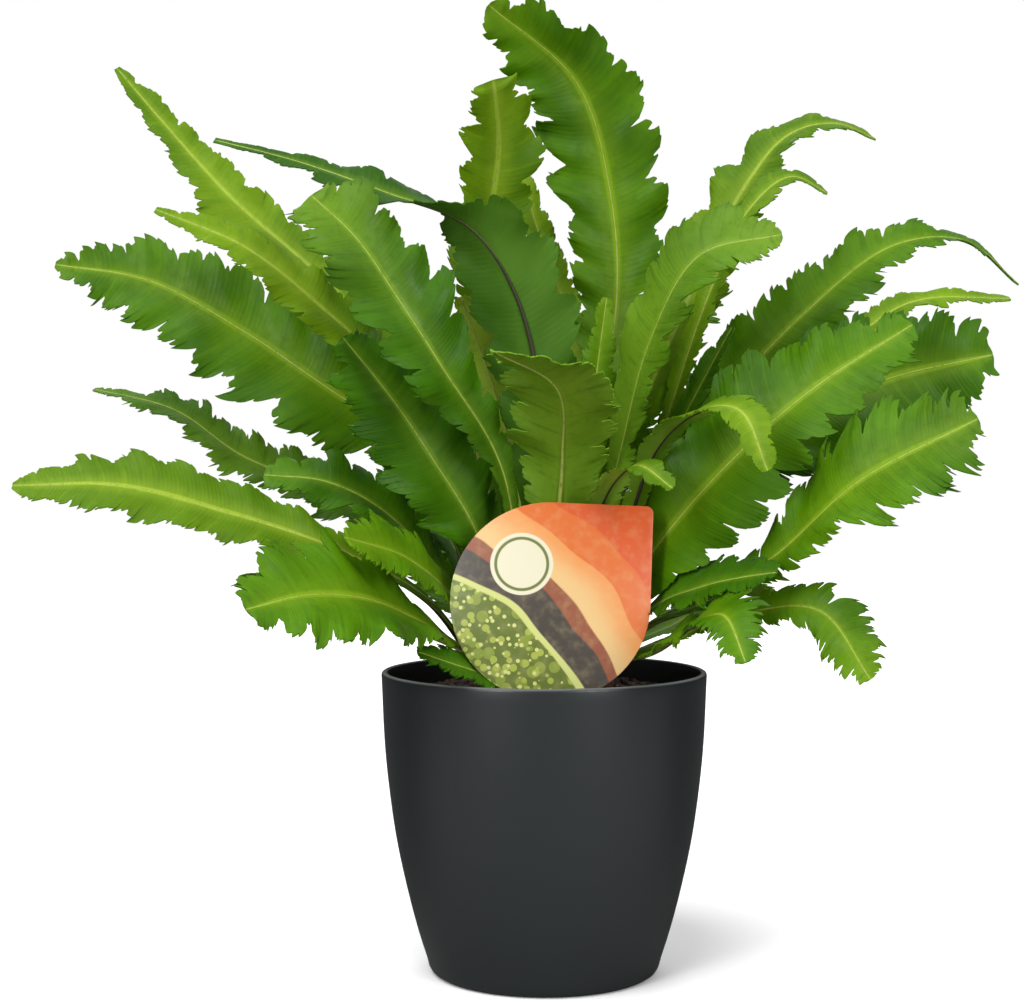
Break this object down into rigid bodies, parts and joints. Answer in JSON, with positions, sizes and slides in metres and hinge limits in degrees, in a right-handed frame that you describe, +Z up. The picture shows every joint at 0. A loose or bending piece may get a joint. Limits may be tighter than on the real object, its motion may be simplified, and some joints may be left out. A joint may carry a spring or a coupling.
{
  "type": "potted fern",
  "caption": "Bird's-nest fern with lobed, arching fronds, in a tapered round dark plastic pot, with a plain plant card on a stake.",
  "frame": {"origin": "centre of the underside of the pot, where it stands", "axes": "+Z up along the pot's axis; -Y is the front, where the plant card stands; +X to the right seen from the front"},
  "size_m": [0.4307, 0.2941, 0.4188],
  "materials": {
    "pot": "satin",
    "soil": "matte",
    "crown": "matte",
    "label": "satin",
    "leaf_bright": "satin",
    "leaf_deep": "satin",
    "leaf_light": "satin"
  },
  "bodies": {
    "root": {"pot": "pot", "soil": "soil", "crown": "crown", "label": "label", "frond_tall": "leaf_bright", "frond_folded_top": "leaf_light", "frond_dark_rib": "leaf_deep", "frond_glossy_left": "leaf_deep", "frond_blue_left": "leaf_deep", "frond_big_left": "leaf_bright", "frond_upper_left": "leaf_light", "frond_light_left": "leaf_light", "frond_ragged_left": "leaf_deep", "frond_olive_left": "leaf_deep", "frond_long_left": "leaf_light", "frond_broad_low_left": "leaf_bright", "frond_mid_low_left": "leaf_bright", "frond_small_dark_left": "leaf_deep", "frond_front_centre": "leaf_deep", "frond_upper_right": "leaf_light", "frond_fork_right": "leaf_light", "frond_mid_right": "leaf_deep", "frond_crested_right": "leaf_bright", "frond_pale_right": "leaf_light", "frond_bright_right": "leaf_bright", "frond_broad_right": "leaf_bright", "frond_finger_right": "leaf_bright", "frond_low_right": "leaf_deep", "frond_claw_right": "leaf_bright", "frond_drooping_right": "leaf_bright", "frond_curl_right": "leaf_light", "frond_curl_centre": "leaf_light", "frond_thin_back": "leaf_light", "frond_pale_inner": "leaf_light", "frond_inner_right_a": "leaf_deep", "frond_inner_right_b": "leaf_bright", "frond_inner_right_c": "leaf_bright", "frond_back_high_left": "leaf_bright", "frond_back_high_right": "leaf_bright", "frond_back_mid_left": "leaf_deep", "frond_back_mid": "leaf_deep", "frond_back_mid_right": "leaf_deep", "frond_back_low_left": "leaf_bright", "frond_back_low_right": "leaf_bright", "frond_side_low_left": "leaf_bright", "frond_side_low_right": "leaf_bright"}
  },
  "joints": []
}
